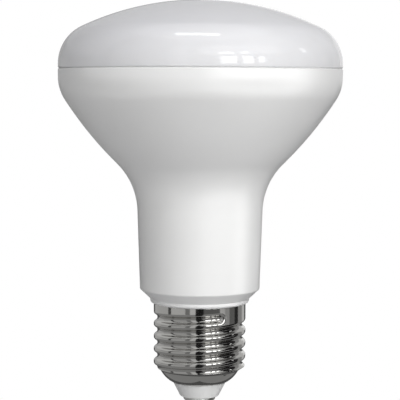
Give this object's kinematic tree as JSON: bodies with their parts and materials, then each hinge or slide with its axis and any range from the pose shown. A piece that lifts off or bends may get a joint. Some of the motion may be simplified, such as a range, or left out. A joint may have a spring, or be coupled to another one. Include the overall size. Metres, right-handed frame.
{
  "type": "reflector bulb",
  "caption": "Reflector lamp with a shallow domed opal front, a flared white body and a narrow neck on a rolled nickel screw cap with a centre contact.",
  "frame": {"origin": "on the bulb's axis, at the flat tip face of the centre contact", "axes": "+Z along the axis from the contact to the opal front, so the bulb points upwards; X and Y are across it, -Y towards the picture's camera, and the thread's upper end is 25.5 degrees from -Y towards +X"},
  "size_m": [0.08, 0.08, 0.1138],
  "materials": {
    "opal_polycarbonate": "opal, smooth, moulded",
    "white_housing": "satin, moulded",
    "nickel_shell": "nickel plate, rolled, bright",
    "white_insulator": "smooth, moulded",
    "nickel_contact": "nickel plate, pressed"
  },
  "bodies": {
    "root": {"diffuser": "opal_polycarbonate", "housing": "white_housing", "screw_shell": "nickel_shell", "insulator": "white_insulator", "centre_contact": "nickel_contact"}
  },
  "joints": []
}
